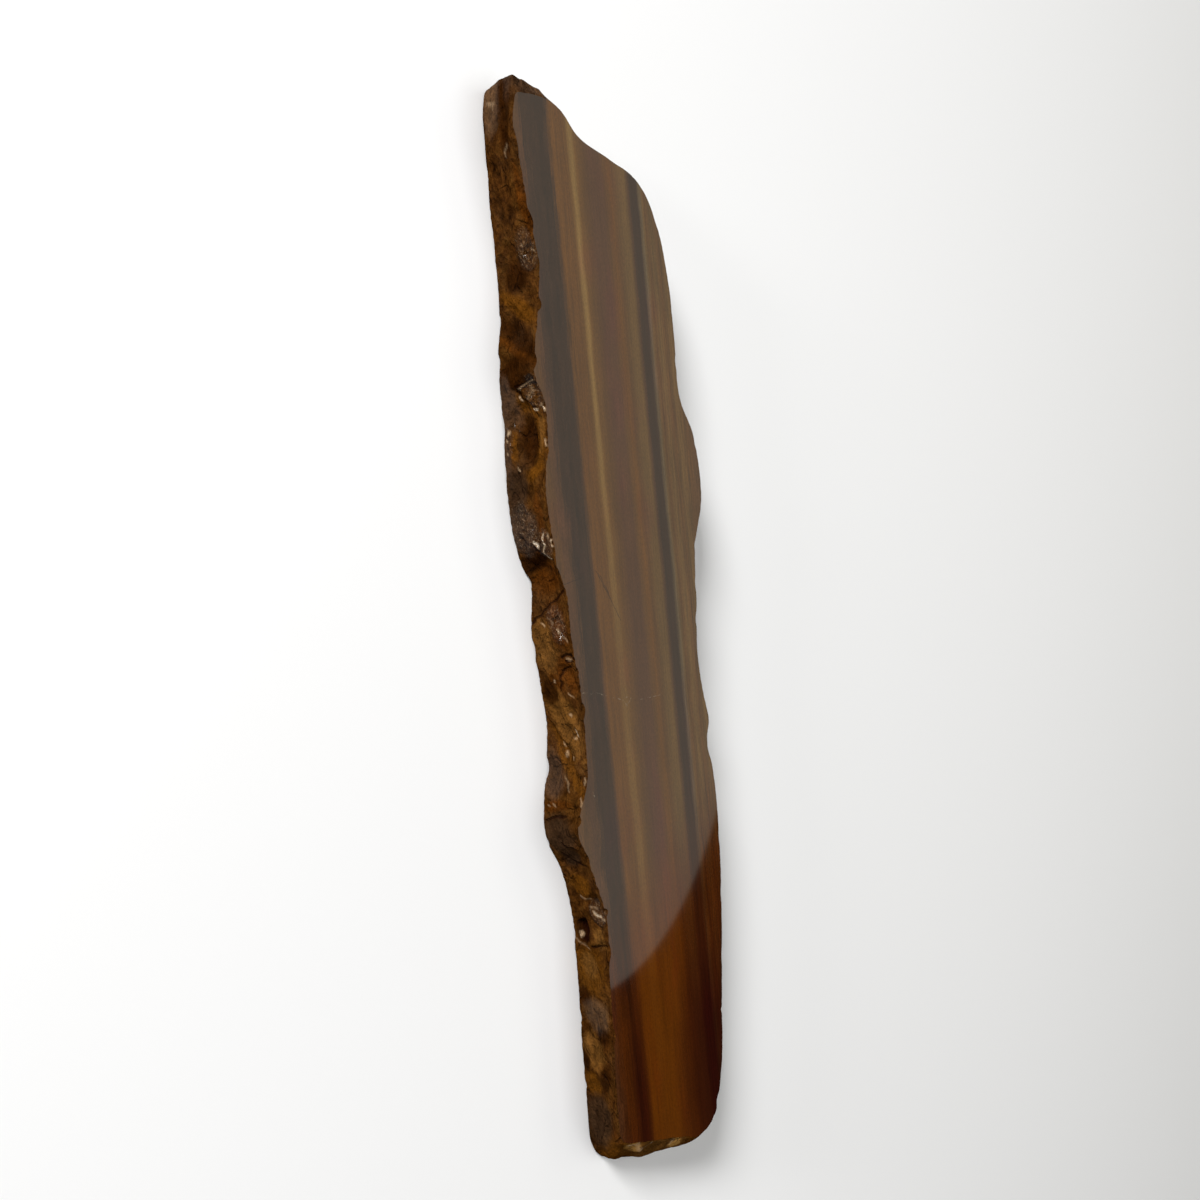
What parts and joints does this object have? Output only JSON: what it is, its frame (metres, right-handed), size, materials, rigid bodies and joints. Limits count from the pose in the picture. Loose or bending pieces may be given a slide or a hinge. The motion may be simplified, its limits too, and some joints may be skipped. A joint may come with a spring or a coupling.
{
  "type": "rough tigers eye slab",
  "caption": "Long flat slice of banded tiger's eye stone, with a polished face, a sawn back and an edge left rough as it broke.",
  "frame": {"origin": "under the middle of the slab's bounding box, on the back face that it rests on", "axes": "+Y along the slab towards its pointed end, +X across it, +Z out of the polished face"},
  "size_m": [0.0624, 0.3004, 0.016],
  "materials": {
    "tigers_eye": "polished face with silky parallel bands, waxy broken edge, matt sawn back"
  },
  "bodies": {
    "root": {"slab": "tigers_eye"}
  },
  "joints": []
}
